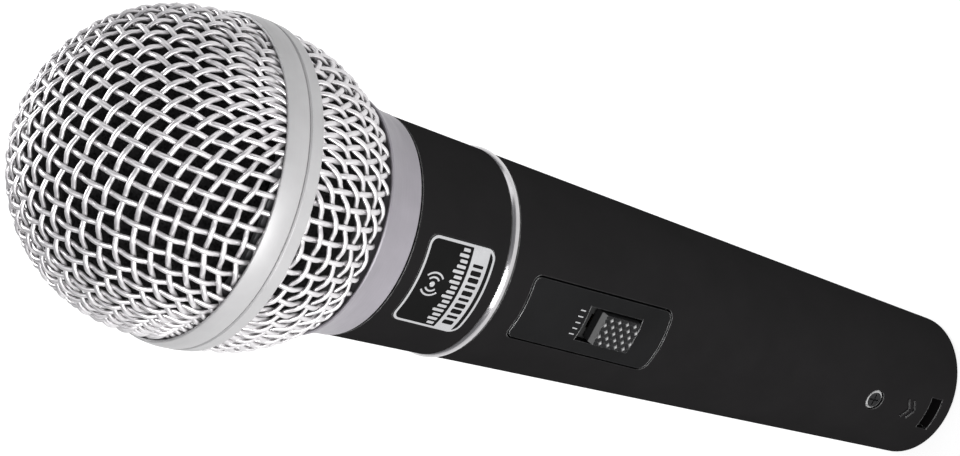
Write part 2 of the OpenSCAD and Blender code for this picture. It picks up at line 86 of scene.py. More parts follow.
WIRE_R, WIRE_FLAT = 0.43, 0.31                # half width and half thickness of the mesh wire
CLOTH_DEPTH = 2 * WIRE_FLAT + 0.04            # middle of the cloth, below the CAD mesh's face
CRIMP = 0.85                                  # below 1, the wires' waves get flatter crests
REAR_MARGIN = 0.3                             # how far the rear wires stop from both rims
FOAM_SHRINK, FOAM_PIT = 0.12, 0.28            # foam skin's clearance, and its pits' depth
NECK_CREST_R, COLLAR_CREST_R = 15.15, 14.75   # crests of the two threads
THREAD_ROOT_HALF, THREAD_CREST_HALF, THREAD_SUNK = 0.38, 0.07, 0.06     # section of a ridge

# The rear cloth is pressed over a ball before it meets its outline: the radius of that ball,
# and the way over it from its pole to the cloth's lower rim
REAR_BALL_R, REAR_START = 24.65, 21.08


def handle_r(z):
    """Radius of the handle's cone at height z."""
    return TAIL_R + (SHOULDER_R - TAIL_R) * z / SHOULDER_Z


# ---- Mesh helpers ----

def mesh_object(name, verts_mm, faces, smooth=True):
    """A mesh object from points in millimetres, in the row frame."""
    me = bpy.data.meshes.new(name)
    me.from_pydata((np.asarray(verts_mm, float) * MM).tolist(), [], faces)
    me.validate()
    me.polygons.foreach_set("use_smooth", [smooth] * len(me.polygons))
    me.update()
    ob = bpy.data.objects.new(name, me)
    bpy.context.scene.collection.objects.link(ob)
    return ob


def unit(v):
    """Vectors scaled to length 1 along the last axis."""
    return v / np.maximum(np.linalg.norm(v, axis=-1, keepdims=True), 1e-12)


def tubes(name, paths, radius, flat):
    """Wires along many paths, rolled a little flat: flat is their half thickness along the
    surface normal. Each path is (points, surface normals)."""
    sides = 8
    verts, faces, start = [], [], 0
    turn = np.arange(sides) * 2 * math.pi / sides
    for pts, nrm in paths:
        t = unit(np.gradient(pts, axis=0))
        n = unit(nrm - np.sum(nrm * t, 1, keepdims=True) * t)
        b = np.cross(t, n)
        ring = pts[:, None] + (flat * np.cos(turn)[None, :, None] * n[:, None]
                               + radius * np.sin(turn)[None, :, None] * b[:, None])
        k = len(pts)
        verts.append(ring.reshape(-1, 3))
        i = np.arange(k - 1)[:, None] * sides
        j = np.arange(sides)[None, :]
        k1 = (j + 1) % sides
        q = np.stack([i + j, i + k1, i + sides + k1, i + sides + j], -1)
        faces += (q.reshape(-1, 4) + start).tolist()
        faces.append([start + x for x in range(sides - 1, -1, -1)])
        faces.append([start + (k - 1) * sides + x for x in range(sides)])
        start += k * sides
    return mesh_object(name, np.concatenate(verts), faces)


def lathe(name, outline, steps):
    """A closed ring of revolution about Z from a closed outline of (radius, height)."""
    o = np.asarray(outline, float)
    a = np.arange(steps) * 2 * math.pi / steps
    verts = np.stack([o[None, :, 0] * np.cos(a)[:, None], o[None, :, 0] * np.sin(a)[:, None],
                      np.broadcast_to(o[None, :, 1], (steps, len(o)))], -1).reshape(-1, 3)
    n = len(o)
    faces = []
    for i in range(steps):
        k = (i + 1) % steps
        for j in range(n):
            m = (j + 1) % n
            faces.append([i * n + j, k * n + j, k * n + m, i * n + m])
    return mesh_object(name, verts, faces)


# ---- Woven wire ----

def cloth_net(cell_u, cell_v, cells, sub):
    """Square cloth laid on a unit sphere without stretching its threads: both families keep
    their spacing and only shear. Point (i, j) is the half-turn image of (i-1, j-1) about
    the middle of its two neighbours. Returns a grid of points, with the pole in the middle."""
    a, b, n = math.radians(cell_u / sub), math.radians(cell_v / sub), cells * sub
    q = np.zeros((n + 1, n + 1, 3))
    k = np.arange(n + 1)
    q[:, 0] = np.c_[np.sin(k * a), 0 * k, np.cos(k * a)]
    q[0, :] = np.c_[0 * k, np.sin(k * b), np.cos(k * b)]
    for s in range(2, 2 * n + 1):
        i = np.arange(max(1, s - n), min(n, s - 1) + 1)
        j = s - i
        m = unit(q[i - 1, j] + q[i, j - 1])
        c = q[i - 1, j - 1]
        q[i, j] = 2 * np.sum(c * m, 1)[:, None] * m - c
    g = np.zeros((2 * n + 1, 2 * n + 1, 3))
    g[n:, n:] = q
    g[:n, n:] = q[:0:-1] * [-1, 1, 1]
    g[n:, :n] = q[:, :0:-1] * [1, -1, 1]
    g[:n, :n] = q[:0:-1, :0:-1] * [-1, -1, 1]
    return g


def runs(flags):
    """Start and end of each unbroken run of true flags."""
    edges = np.flatnonzero(np.diff(np.r_[0, flags.astype(int), 0]))
    return list(zip(edges[::2], edges[1::2]))


def weave(name, surface, inside, cell_u, cell_v, turn, phase_u, phase_v):
    """A plain weave of wire on a curved surface. surface maps directions on the unit
    sphere to (points, outward normals) of the middle of the cloth, and inside says which
    angles from the pole it covers. The cells and the turn are in degrees, and the phases
    move the wires by eighths of a cell."""
    sub, cells = 8, 20      # steps along a cell, and cells on each side of the pole
    g = cloth_net(cell_u, cell_v, cells, sub)
    t = math.radians(turn)
    g = g @ np.array([[math.cos(t), math.sin(t), 0], [-math.sin(t), math.cos(t), 0], [0, 0, 1]])
    keep = inside(np.arccos(np.clip(g[..., 2], -1, 1)))
    p, n = surface(g)
    size = g.shape[0]
    paths = []
    steps = np.arange(size)
    for family in (0, 1):
        first, other = (phase_v, phase_u) if family == 0 else (phase_u, phase_v)
        for row, k in enumerate(range(first % sub, size, sub)):
            line = (slice(None), k) if family == 0 else (k, slice(None))
            # over at one crossing and under at the next, opposite for the crossing wire
            wave = np.cos(math.pi * ((steps - other) / sub + row + family))
            wave = np.sign(wave) * np.abs(wave) ** CRIMP
            mid = p[line] + WIRE_FLAT * wave[:, None] * n[line]
            for a, b in runs(keep[line]):
                if b - a > sub // 2:
                    paths.append((mid[a:b], n[line][a:b]))
    return tubes(name, paths, WIRE_R, WIRE_FLAT)


def dome_surface(g):
    """Middle of the front mesh, on its half ellipsoid."""
    rx, rz = DOME_R - CLOTH_DEPTH, DOME_H - CLOTH_DEPTH
    # below its equator the cloth hangs straight down to the band
    h = np.maximum(np.hypot(g[..., 0], g[..., 1]), 1e-9)
    wide = np.where(g[..., 2] < 0, 1 / h, 1.0)
    low = np.where(g[..., 2] < 0, 0.0, 1.0)
    p = np.stack([g[..., 0] * wide * rx, g[..., 1] * wide * rx, DOME_Z + g[..., 2] * rz], -1)
    return p, unit(np.stack([g[..., 0] / rx, g[..., 1] / rx, low * g[..., 2] / rz], -1))


def rear_line():
    """Points of the rear mesh's outline, their arc length and outward normals."""
    p, q = np.array(REAR_LOW), np.array(REAR_HIGH)
    d = q - p
    u = np.array([d[1], -d[0]]) / np.linalg.norm(d)
    t = np.linspace(0, 1, 200)
    line = p + t[:, None] * d + 4 * REAR_BULGE * (t * (1 - t))[:, None] * u
    length = np.r_[0, np.cumsum(np.linalg.norm(np.diff(line, axis=0), axis=1))]
    tangent = unit(np.gradient(line, axis=0))
    return line, length, np.c_[tangent[:, 1], -tangent[:, 0]]


def rear_surface(g):
    """Middle of the rear mesh: distance from the pole becomes distance up the outline."""
    line, length, normal = rear_line()
    s = np.arccos(np.clip(g[..., 2], -1, 1)) * REAR_BALL_R - REAR_START
    r, z, nr, nz = [np.interp(s, length, c) for c in (*line.T, *normal.T)]
    h = np.maximum(np.hypot(g[..., 0], g[..., 1]), 1e-9)
    cx, cy = g[..., 0] / h, g[..., 1] / h
    r, z = r - CLOTH_DEPTH * nr, z - CLOTH_DEPTH * nz
    return np.stack([r * cx, r * cy, z], -1), np.stack([nr * cx, nr * cy, nz], -1)


def on_dome(angle):
    """True where the front cloth lies, from the pole down to the rim in the bands."""
    return angle < math.pi / 2 + math.asin((DOME_Z - RIM_Z) / DOME_H)


def on_rear(angle):
    """True where the rear cloth lies, between its two rims."""
    way = angle * REAR_BALL_R - REAR_START
    return (way > REAR_MARGIN) & (way < rear_line()[1][-1] - REAR_MARGIN)


front_mesh = weave("grille_front_weave", dome_surface, on_dome, cell_u=6.21, cell_v=6.34,
                   turn=5.17, phase_u=3, phase_v=5)
rear_mesh = weave("grille_rear_weave", rear_surface, on_rear, cell_u=6.50, cell_v=6.11,
                  turn=3.67, phase_u=7, phase_v=2)
for ob, node in ((front_mesh, "grille_front_mesh"), (rear_mesh, "grille_rear_mesh")):
    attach(ob, "grille")
    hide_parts(node)
    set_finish(ob, "grille_wire")

# ---- Foam liner ----

def foam_line(r, low, dome_h):
    """One outline of the foam: a bulged side from height low up to the bands, then a dome."""
    side = [(r - FOAM_NARROWING * (1 - t) + 4 * FOAM_BULGE * t * (1 - t),
             low + (BAND_REAR_Z - low) * t) for t in np.linspace(0, 1, 40)]
    dome = [(max(r * math.cos(a), 0.01), DOME_Z + dome_h * math.sin(a))
            for a in np.linspace(0, math.pi / 2, 90)]
    return side + dome


def foam_outline():
    """Outer then inner outline of the foam shell, and how many points are outer ones."""
    lo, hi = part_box("foam_liner")
    low, top, r = lo.z / MM + FOAM_SHRINK, hi.z / MM, hi.x / MM
    outer = foam_line(r - FOAM_SHRINK, low, top - DOME_Z - FOAM_SHRINK)
    inner = foam_line(r - FOAM_T, low, top - DOME_Z - FOAM_T)
    return outer + inner[::-1], len(outer)


outline, outer_count = foam_outline()
foam = lathe("foam_shell", outline, 300)
# pits of about 1 mm and 0.5 mm, on the outer skin only
co = np.empty(len(foam.data.vertices) * 3)
foam.data.vertices.foreach_get("co", co)
co = co.reshape(-1, 3)
centre = np.array([0, 0, DOME_Z * MM])
for i, v in enumerate(co):
    if i % len(outline) < outer_count:
        away = v - centre if v[2] > centre[2] else v * [1, 1, 0]
        pit = noise.noise(Vector(v * 900)) + 0.6 * noise.noise(Vector(v * 2100))
        depth = FOAM_PIT * MM * min(max(0.25 + pit, 0.0), 1.2)
        co[i] = v - away / max(np.linalg.norm(away), 1e-9) * depth
foam.data.vertices.foreach_set("co", co.ravel())
foam.data.update()
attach(foam, "grille_foam")
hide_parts("foam_liner")
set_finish(foam, "foam")

# ---- Thread ----

def thread(name, r_root, r_crest, z0, z1, body, slot):
    """A ridge of V section wound round the neck or the bore, tapering out at both ends."""
    steps, taper_steps = 64, 24
    total = int((z1 - z0 - THREAD_PITCH) / THREAD_PITCH * steps)
    back = r_root - THREAD_SUNK * np.sign(r_crest - r_root)
    verts, faces = [], []
    for i in range(total + 1):
        a = 2 * math.pi * i / steps
        z = z0 + THREAD_PITCH / 2 + THREAD_PITCH * i / steps
        fade = min(1.0, i / taper_steps, (total - i) / taper_steps)
        crest = r_root + (r_crest - r_root) * max(fade, 0.02)
        half = ((back, THREAD_ROOT_HALF + 0.02), (r_root, THREAD_ROOT_HALF),
                (crest, THREAD_CREST_HALF))
        section = [(r, -dz) for r, dz in half] + list(half[::-1])
        verts += [(r * math.cos(a), r * math.sin(a), z + dz) for r, dz in section]
    sides = len(section)
    for i in range(total):
        here = i * sides
        for j in range(sides):
            k = (j + 1) % sides
            faces.append([here + j, here + sides + j, here + sides + k, here + k])
    faces += [list(range(sides))[::-1], [total * sides + j for j in range(sides)]]
    ob = mesh_object(name, verts, faces, smooth=False)
    bevel = ob.modifiers.new("soft_edges", "BEVEL")
    bevel.width, bevel.segments, bevel.limit_method = 0.03 * MM, 2, "ANGLE"
    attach(ob, body)
    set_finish(ob, slot)


thread("neck_thread", THREAD_ROOT_R, NECK_CREST_R, LAND_TOP_Z + 0.2, NECK_TOP_Z - 0.1,
       "handle", "handle_paint")
# half a pitch further up, so that its ridge lies in the groove of the neck's thread
thread("collar_thread", THREAD_BORE_R, COLLAR_CREST_R, LAND_TOP_Z + 0.7, NECK_TOP_Z - 0.2,
       "grille", "collar_metal")

# ---- Plate graphics ----

def face_point(z0, x, y, off):
    """The point that lies off millimetres outside the handle's cone, straight over (x, y) of
    the flat face at height z0: y runs up the handle and x to the right."""
    o = np.array([0, -handle_r(z0), z0])
    up = np.array([0, -math.sin(TAPER), math.cos(TAPER)])
    out = np.array([0, -math.cos(TAPER), -math.sin(TAPER)])
    t = 0.0
    for _ in range(12):
        p = o + np.array([x, 0, 0]) + y * up + t * out
        miss = math.hypot(p[0], p[1]) - (handle_r(p[2]) + off)
        t -= miss / max(abs(p[1]) / math.hypot(p[0], p[1]), 0.3)
    return p


def face_shapes(name, z0, outlines, low, high, body, slot):
    """Thin shapes that follow the handle's curve, from flat outlines of (x, y). low and high
    are their lower and upper face, in millimetres outside the cone."""
    verts, faces = [], []
    for line in outlines:
        k, n = len(verts), len(line)
        verts += [face_point(z0, x, y, low) for x, y in line]
        verts += [face_point(z0, x, y, high) for x, y in line]
        faces.append([k + i for i in range(n - 1, -1, -1)])
        faces.append([k + n + i for i in range(n)])
        faces += [[k + i, k + (i + 1) % n, k + n + (i + 1) % n, k + n + i] for i in range(n)]
    ob = mesh_object(name, verts, faces, smooth=False)
    bevel = ob.modifiers.new("soft_edges", "BEVEL")
    bevel.width, bevel.segments = 0.012 * MM, 2
    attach(ob, body)
    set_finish(ob, slot)


def bar(cx, y0, w, h, r=None):
    """A bar with round corners, standing on y0."""
    r = min(w, h) * 0.3 if r is None else r
    line = []
    for sx, sy, a0 in ((1, 1, 0), (-1, 1, 90), (-1, -1, 180), (1, -1, 270)):
        for a in (0, 30, 60, 90):
            t = math.radians(a0 + a)
            line.append((cx + sx * (w / 2 - r) + r * math.cos(t),
                         y0 + h / 2 + sy * (h / 2 - r) + r * math.sin(t)))
    return line


def arc_band(cx, cy, r, w, a0, a1):
    """Part of a flat ring, from angle a0 to a1 in degrees, as short pieces."""
    a = np.radians(np.linspace(a0, a1, 10))
    outer = [(cx + (r + w / 2) * math.cos(t), cy + (r + w / 2) * math.sin(t)) for t in a]
    inner = [(cx + (r - w / 2) * math.cos(t), cy + (r - w / 2) * math.sin(t)) for t in a[::-1]]
    return outer + inner


def stroke(x0, y0, x1, y1, w):
    """A straight stroke of width w between two points."""
    d = math.hypot(x1 - x0, y1 - y0)
    nx, ny = (y0 - y1) / d * w / 2, (x1 - x0) / d * w / 2
    return [(x0 - nx, y0 - ny), (x1 - nx, y1 - ny), (x1 + nx, y1 + ny), (x0 + nx, y0 + ny)]


# nameplate: a row of level bars, and a dot between two pairs of arcs
levels = (1.3, 1.8, 1.5, 2.1, 1.7, 1.4, 2.0, 1.6, 1.3, 1.9, 1.5, 2.1, 1.7, 1.4, 1.8, 1.3)
silver = [bar(-6.3 + 0.84 * i, -1.45, 0.5, h) for i, h in enumerate(levels)]
silver += [bar(0.1, 2.8, 0.9, 0.9, 0.42)]
silver += [arc_band(0.1, 3.25, r, 0.3, a, a + 104) for r in (1.15, 1.9) for a in (-52, 128)]
face_shapes("name_marks", NAME_Z, silver, 0.10, 0.16, "handle", "name_metal")

# nameplate's stripe: wide and narrow ticks
tick_widths = (0.8, 0.5, 0.8, 0.8, 0.5, 0.8, 0.5, 0.8, 0.8, 0.5)
ticks = [bar(-5.5 + 1.1 * i, -4.65, w, 2.0) for i, w in enumerate(tick_widths)]
face_shapes("name_ticks", NAME_Z, ticks, 0.13, 0.165, "handle", "name_enamel")

# five bars above the switch
marks = [bar(-2.1 + 1.05 * i, 6.3, 0.2, 1.0) for i in range(5)]
face_shapes("switch_marks", OPENING_Z, marks, -0.03, 0.04, "handle", "name_metal")

# two chevrons near the tail
arrow = [stroke(sx * 1.7, y + 0.75, sx * 0.12, y - 0.25, 0.34)
         for y in (1.0, -0.4) for sx in (-1, 1)]
face_shapes("tail_arrow", ARROW_Z, arrow, -0.05, 0.13, "handle", "handle_paint")

# ---- Materials ----

class Finish:
    """A procedural material: object coordinates feed noises that drive colour, roughness
    and bump."""

    def __init__(self, name, metal=0.0, specular=0.5):
        self.mat = bpy.data.materials.new(name)
        self.mat.use_nodes = True
        self.tree = self.mat.node_tree
        self.tree.nodes.clear()
        self.out = self.add("ShaderNodeOutputMaterial")
        self.bsdf = self.add("ShaderNodeBsdfPrincipled")
        self.link(self.bsdf.outputs[0], self.out.inputs["Surface"])
        self.coord = self.add("ShaderNodeTexCoord").outputs["Object"]
        self.set("Metallic", metal)
        self.set("Specular IOR Level", specular)
        self.height = None

    def add(self, kind, **props):
        """A new node of the material's tree."""
        node = self.tree.nodes.new(kind)
        for k, v in props.items():
            setattr(node, k, v)
        return node

    def link(self, a, b):
        self.tree.links.new(a, b)

    def set(self, socket, value):
        self.bsdf.inputs[socket].default_value = value

    def noise(self, size_mm, detail=3.0, rough=0.55, stretch=(1, 1, 1), warp=0.0, seed=0.0):
        """Noise with features of about size_mm, made longer along an axis by a small stretch
        number."""
        m = self.add("ShaderNodeMapping")
        m.inputs["Scale"].default_value = stretch
        m.inputs["Location"].default_value = (seed, seed * 0.7, seed * 1.3)
        self.link(self.coord, m.inputs["Vector"])
        n = self.add("ShaderNodeTexNoise")
        n.inputs["Scale"].default_value = 1 / (size_mm * MM)
        n.inputs["Detail"].default_value = detail
        n.inputs["Roughness"].default_value = rough
        n.inputs["Distortion"].default_value = warp
        self.link(m.outputs[0], n.inputs["Vector"])
        return n.outputs[0]

    def span(self, value, lo, hi, to_lo, to_hi):
        """Maps lo to hi onto to_lo to to_hi, and holds both ends."""
        n = self.add("ShaderNodeMapRange")
        for k, v in zip(("From Min", "From Max", "To Min", "To Max"), (lo, hi, to_lo, to_hi)):
            n.inputs[k].default_value = v
        self.link(value, n.inputs["Value"])
        return n.outputs[0]

    def math(self, op, a, b):
        """One operation on two numbers or sockets."""
        n = self.add("ShaderNodeMath", operation=op)
        for i, v in enumerate((a, b)):
            if isinstance(v, (int, float)):
                n.inputs[i].default_value = v
            else:
                self.link(v, n.inputs[i])
        return n.outputs[0]

    def mix(self, fac, a, b):
        """Colour a at a factor of 0 and colour b at 1."""
        n = self.add("ShaderNodeMix", data_type="RGBA")
        for i, v in ((0, fac), (6, a), (7, b)):
            if isinstance(v, (int, float)):
                n.inputs[i].default_value = v
            elif isinstance(v, tuple):
                n.inputs[i].default_value = (*v, 1.0)
            else:
                self.link(v, n.inputs[i])
        return n.outputs[2]

    def colour(self, base, vary, size_mm):
        """Base colour that drifts a little lighter and darker."""
        f = self.span(self.noise(size_mm, 4, seed=1.0), 0.3, 0.7, 0, 1)
        dark = tuple(c * (1 - vary) for c in base)
        light = tuple(min(c * (1 + vary), 1.0) for c in base)
        return self.mix(f, dark, light)

    def base(self, value):
        """Sets the base colour from a socket."""
        self.link(value, self.bsdf.inputs["Base Color"])
        return self

    def rough(self, lo, hi, size_mm=3.0, stretch=(1, 1, 1)):
        """Patchy roughness between lo and hi."""
        self.link(self.span(self.noise(size_mm, 4, stretch=stretch, seed=2.0), 0.3, 0.7, lo, hi),
                  self.bsdf.inputs["Roughness"])
        return self

    def bump(self, value, depth_mm):
        """Adds relief of depth_mm on top of the relief that is there."""
        n = self.add("ShaderNodeBump")
        n.inputs["Strength"].default_value = 1.0
        n.inputs["Distance"].default_value = depth_mm * MM
        self.link(value, n.inputs["Height"])
        if self.height is not None:
            self.link(self.height, n.inputs["Normal"])
        self.height = n.outputs[0]
        self.link(self.height, self.bsdf.inputs["Normal"])
        return self

    def edges(self, width_mm, ends_only=False):
        """Rounds sharp edges in the shading, and returns a mask that is 1 along them, which the
        colours use for painted highlights along edges. With ends_only, edges along the handle stay
        weak and edges across it are strong, as the painted highlights lie on the edges facing the
        handle's ends."""
        b = self.add("ShaderNodeBevel", samples=4)
        b.inputs["Radius"].default_value = width_mm * MM
        self.height = b.outputs[0]
        self.link(self.height, self.bsdf.inputs["Normal"])
        g = self.add("ShaderNodeNewGeometry")
        d = self.add("ShaderNodeVectorMath", operation="DOT_PRODUCT")
        self.link(b.outputs[0], d.inputs[0])
        self.link(g.outputs["Normal"], d.inputs[1])
        rim = self.span(d.outputs["Value"], 0.80, 0.97, 1, 0)
        if not ends_only:
            return rim
        xyz = self.add("ShaderNodeSeparateXYZ")
        self.link(b.outputs[0], xyz.inputs[0])
        across = self.span(self.math("ABSOLUTE", xyz.outputs[2], 0.0), 0.2, 0.5, 0.08, 1)
        return self.math("MULTIPLY", rim, across)

    def face_place(self, z0):
        """How many millimetres the shaded point lies above the flat face at height z0, and how
        far up the face from its middle."""
        out = (0.0, -math.cos(TAPER), -math.sin(TAPER))
        up = (0.0, -math.sin(TAPER), math.cos(TAPER))
        places = []
        for way in (out, up):
            d = self.add("ShaderNodeVectorMath", operation="DOT_PRODUCT")
            self.link(self.coord, d.inputs[0])
            d.inputs[1].default_value = tuple(c / MM for c in way)
            origin = z0 * way[2] - handle_r(z0) * way[1]
            places.append(self.math("SUBTRACT", d.outputs["Value"], origin))
        return places

    def base_link(self):
        """The socket that drives the base colour now."""
        return self.bsdf.inputs["Base Color"].links[0].from_socket

    def satin(self, share, lo, hi):
        """Adds a weak even gloss, for blacks that stay black at a glancing angle."""
        g = self.add("ShaderNodeBsdfGlossy")
        self.link(self.span(self.noise(2.5, 4, seed=8.0), 0.3, 0.7, lo, hi), g.inputs["Roughness"])
        if self.height is not None:
            self.link(self.height, g.inputs["Normal"])
        m = self.add("ShaderNodeMixShader")
        m.inputs[0].default_value = share
        self.link(self.bsdf.outputs[0], m.inputs[1])
        self.link(g.outputs[0], m.inputs[2])
        self.link(m.outputs[0], self.out.inputs["Surface"])
        return self


def plain_finish(name, base, rough, metal=0.0, specular=0.5, grain_mm=0.3, grain_depth=0.01,
                 vary=0.12, speck=None, speck_cut=0.68, size_mm=6.0, stretch=(1, 1, 1)):
    """The usual recipe: drifting colour, patchy roughness, fine grain, and a few worn specks."""
    f = Finish(name, metal, specular)
    colour = f.colour(base, vary, size_mm)
    if speck:
        worn = f.span(f.noise(0.9, 6, 0.7, seed=5.0), speck_cut, speck_cut + 0.06, 0, 1)
        colour = f.mix(worn, colour, speck)
    f.base(colour).rough(max(rough - 0.07, 0.03), min(rough + 0.09, 1.0), 2.5)
    f.bump(f.noise(grain_mm, 3, stretch=stretch, seed=3.0), grain_depth)
    return f


def black_finish(name, base, edge_wear_and_highlight, share, lo, hi, grain_mm, grain_depth, edge_mm,
                 ends_only=False):
    """Satin black: drifting colour, fine grain, worn specks, and edges painted a lighter
    colour as wear and as painted highlight. share is the gloss that is mixed in, and lo and hi
    are the roughness."""
    f = Finish(name, 0.0, 0.0)
    rim = f.edges(edge_mm, ends_only)
    worn = f.span(f.noise(0.7, 6, 0.75, seed=5.0), 0.74, 0.80, 0, 1)
    colour = f.mix(worn, f.colour(base, 0.18, 9.0), tuple(c * 2.5 for c in base))
    # edges painted lighter along the bevel mask: partly wear, partly painted highlight
    rub_and_highlight = f.math("MULTIPLY", rim, f.span(f.noise(1.6, 5, 0.7, seed=9.0), 0.35, 0.65, 0.3, 1))
    f.base(f.mix(rub_and_highlight, colour, edge_wear_and_highlight)).rough(lo, hi, 3.0)
    f.bump(f.noise(grain_mm, 2, seed=3.0), grain_depth).bump(f.noise(0.09, 2, seed=4.0), 0.002)
    return f.satin(share, lo, hi)


# ---- One material for each slot ----

finishes = {}
# edges across the handle are painted lighter: partly wear, partly painted highlight
finishes["handle_paint"] = black_finish(
    "handle_paint", (0.0045, 0.0041, 0.0044), edge_wear_and_highlight=(0.26, 0.26, 0.26), share=0.012, lo=0.30,
    hi=0.40, grain_mm=0.55, grain_depth=0.005, edge_mm=0.3, ends_only=True)

f = Finish("accent_chrome", 1.0)
f.base(f.colour((0.50, 0.49, 0.50), 0.04, 3.0)).rough(0.16, 0.24, 1.5, (1, 1, 6))
f.bump(f.noise(0.12, 3, stretch=(0.05, 0.05, 4), seed=3.0), 0.002)
finishes["accent_chrome"] = f

finishes["name_metal"] = plain_finish("name_metal", (0.52, 0.52, 0.53), 0.30, 1.0, grain_mm=0.15,
                                      grain_depth=0.003, vary=0.06, stretch=(0.2, 0.2, 2))
finishes["name_enamel"] = black_finish(
    "name_enamel", (0.0045, 0.0045, 0.0045), edge_wear_and_highlight=(0.006, 0.006, 0.006), share=0.006, lo=0.22,
    hi=0.30, grain_mm=0.4, grain_depth=0.002, edge_mm=0.03)
# the switch plate's edges across the handle are painted light grey: partly wear, partly painted
# highlight
finishes["switch_black"] = black_finish(
    "switch_black", (0.0055, 0.0055, 0.0058), edge_wear_and_highlight=(0.60, 0.60, 0.60), share=0.009, lo=0.36,
    hi=0.46, grain_mm=0.12, grain_depth=0.004, edge_mm=0.26, ends_only=True)

# the tips of the thumb-piece's knurls are painted lighter, partly wear and partly painted
# highlight, and its head end is painted lighter as a painted highlight
f = black_finish("switch_thumb", (0.012, 0.012, 0.0125), edge_wear_and_highlight=(0.03, 0.03, 0.03), share=0.02,
                 lo=0.26, hi=0.36, grain_mm=0.12, grain_depth=0.003, edge_mm=0.06)
high, along = f.face_place(OPENING_Z)
tip_wear_and_highlight = f.span(high, 0.95, 1.16, 0, 1)
nose_highlight = f.math("MULTIPLY", f.span(along, THUMB_HEAD_Y - 0.42, THUMB_HEAD_Y - 0.36, 0, 1),
              f.span(high, -0.25, -0.15, 0, 1))
f.base(f.mix(nose_highlight, f.mix(tip_wear_and_highlight, f.base_link(), (0.36, 0.36, 0.36)), (0.11, 0.11, 0.11)))
finishes["switch_thumb"] = f

finishes["switch_steel"] = plain_finish("switch_steel", (0.02, 0.02, 0.02), 0.5, 0.3, 0.3,
                                        grain_mm=0.2, grain_depth=0.003, stretch=(1, 0.1, 1))
finishes["contact_metal"] = plain_finish("contact_metal", (0.80, 0.64, 0.34), 0.24, 1.0,
                                         grain_mm=0.25, grain_depth=0.002, vary=0.08)
finishes["insert_plastic"] = plain_finish("insert_plastic", (0.018, 0.018, 0.02), 0.46, 0.0, 0.4,
                                          grain_mm=0.18, grain_depth=0.006, vary=0.25,
                                          speck=(0.05, 0.05, 0.05), speck_cut=0.72)

# the rim of the screw's head is painted bright: partly wear, partly painted highlight
f = black_finish("screw_steel", (0.010, 0.010, 0.0105), edge_wear_and_highlight=(0.05, 0.05, 0.05), share=0.02,
                 lo=0.22, hi=0.34, grain_mm=0.15, grain_depth=0.004, edge_mm=0.05)
along = f.face_place(SCREW_Z)[1]
place = f.add("ShaderNodeSeparateXYZ")
f.link(f.coord, place.inputs[0])
aside = f.math("MULTIPLY", place.outputs[0], 1 / MM)
away = f.math("POWER", f.math("ADD", f.math("MULTIPLY", aside, aside),
                              f.math("MULTIPLY", along, along)), 0.5)
rim = f.math("MULTIPLY", f.span(away, SCREW_HEAD_R - 0.38, SCREW_HEAD_R - 0.3, 0, 1),
             f.span(f.noise(1.3, 3, seed=9.0), 0.4, 0.6, 0.35, 1))
f.base(f.mix(rim, f.base_link(), (0.42, 0.42, 0.42)))
finishes["screw_steel"] = f

finishes["shock_rubber"] = plain_finish("shock_rubber", (0.016, 0.016, 0.016), 0.66, 0.0, 0.3,
                                        grain_mm=0.25, grain_depth=0.012, vary=0.2)
finishes["chamber_plastic"] = plain_finish("chamber_plastic", (0.09, 0.09, 0.10), 0.22, 0.0, 0.5,
                                           grain_mm=0.6, grain_depth=0.003)
finishes["capsule_metal"] = plain_finish("capsule_metal", (0.60, 0.60, 0.62), 0.30, 1.0,
                                         grain_mm=0.2, grain_depth=0.003, stretch=(0.1, 0.1, 3))
finishes["magnet_iron"] = plain_finish("magnet_iron", (0.20, 0.20, 0.21), 0.50, 1.0, grain_mm=0.3,
                                       grain_depth=0.012, vary=0.2, speck=(0.12, 0.06, 0.04),
                                       speck_cut=0.72)
finishes["coil_copper"] = plain_finish("coil_copper", (0.62, 0.28, 0.12), 0.28, 1.0, grain_mm=0.11,
                                       grain_depth=0.02, stretch=(0.02, 0.02, 1.5))
finishes["diaphragm_film"] = plain_finish("diaphragm_film", (0.52, 0.58, 0.66), 0.14, 0.0, 0.6,
                                          grain_mm=1.2, grain_depth=0.01)
finishes["lead_red"] = plain_finish("lead_red", (0.42, 0.03, 0.025), 0.4, grain_mm=0.5)
finishes["lead_orange"] = plain_finish("lead_orange", (0.50, 0.14, 0.03), 0.4, grain_mm=0.5)
finishes["lead_black"] = plain_finish("lead_black", (0.012, 0.012, 0.012), 0.4, grain_mm=0.5)
finishes["lead_white"] = plain_finish("lead_white", (0.66, 0.65, 0.60), 0.4, grain_mm=0.5)
finishes["support_metal"] = plain_finish("support_metal", (0.25, 0.25, 0.26), 0.40, 0.8,
                                         grain_mm=0.2, grain_depth=0.004, stretch=(0.1, 0.1, 2))

# nickelled wire with dull patches
f = Finish("grille_wire", 0.75, 0.5)
dull = f.span(f.noise(1.6, 5, 0.6, seed=6.0), 0.56, 0.72, 0, 1)
f.base(f.mix(dull, f.colour((0.61, 0.595, 0.605), 0.06, 2.5), (0.47, 0.46, 0.47)))
f.rough(0.30, 0.42, 1.2)
f.bump(f.noise(0.35, 3, seed=3.0), 0.012).bump(f.noise(0.09, 2, seed=4.0), 0.003)
finishes["grille_wire"] = f

# turned bands, with painted highlights along the lips
f = Finish("grille_band", 0.35, 0.5)
lip_highlight = f.math("MULTIPLY", f.edges(0.16), 0.8)
scuff = f.span(f.noise(0.8, 6, 0.75, seed=7.0), 0.70, 0.78, 0, 1)
turned = f.mix(scuff, f.colour((0.36, 0.356, 0.36), 0.04, 4.0), (0.28, 0.28, 0.285))
f.base(f.mix(lip_highlight, turned, (0.62, 0.615, 0.62)))
f.rough(0.42, 0.52, 2.0, (0.3, 0.3, 3))
f.bump(f.noise(0.22, 3, stretch=(0.08, 0.08, 3), seed=3.0), 0.003)
finishes["grille_band"] = f
